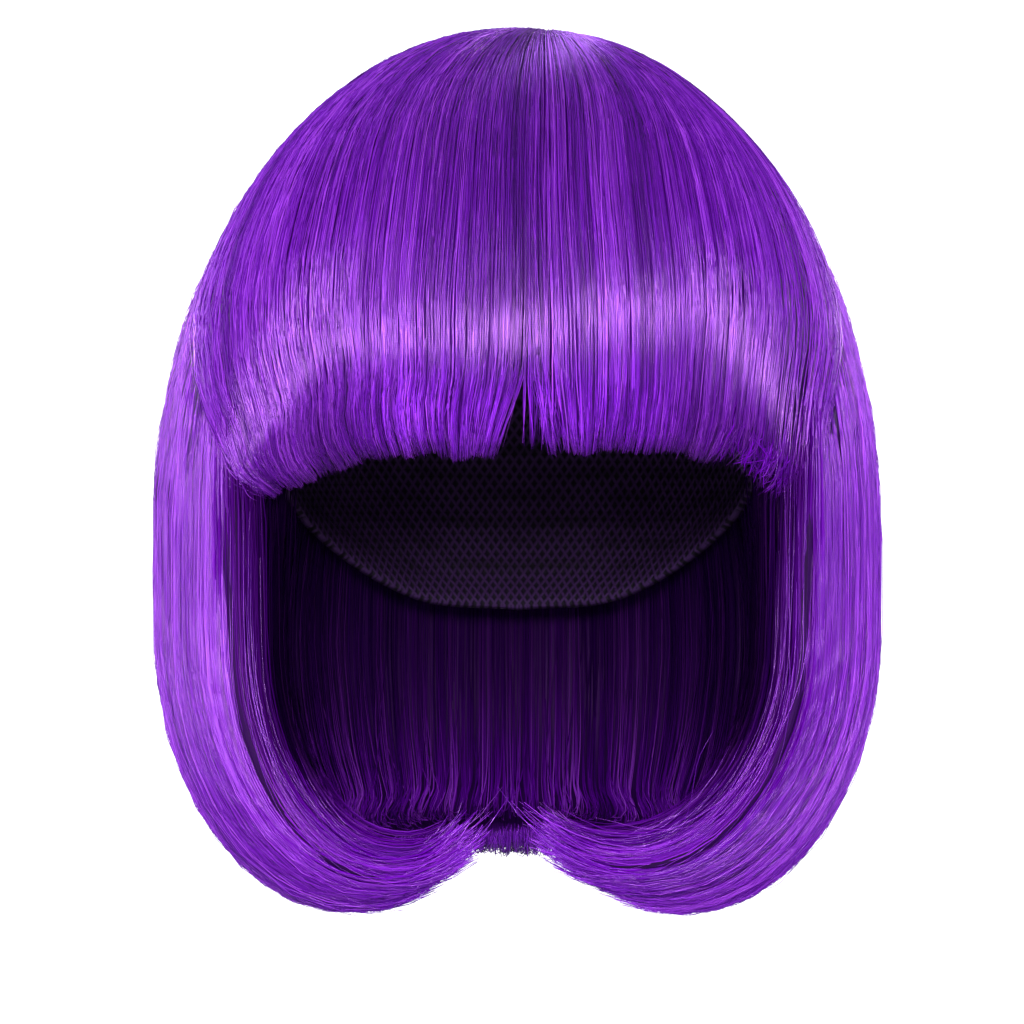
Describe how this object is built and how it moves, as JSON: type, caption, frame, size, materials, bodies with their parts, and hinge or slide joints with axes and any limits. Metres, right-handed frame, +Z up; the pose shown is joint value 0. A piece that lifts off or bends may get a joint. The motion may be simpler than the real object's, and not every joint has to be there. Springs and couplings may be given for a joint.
{
  "type": "bob wig",
  "caption": "Chin-length bob wig of smooth straight hair, with a full fringe and ends that curl under, on an open stretch cap.",
  "frame": {"origin": "middle of the head opening at the hat line, 100 mm below the inside of the cap's crown", "axes": "+Z up to the crown, -Y to the face, +X to the wearer's left"},
  "size_m": [0.2166, 0.2378, 0.2619],
  "materials": {
    "net": "dark stretch net with a woven elastic band",
    "hair": "glossy straight purple synthetic fibre"
  },
  "bodies": {
    "root": {"cap": "net", "fringe": "hair", "side_hair_left": "hair", "side_hair_right": "hair", "back_hair": "hair"}
  },
  "joints": []
}
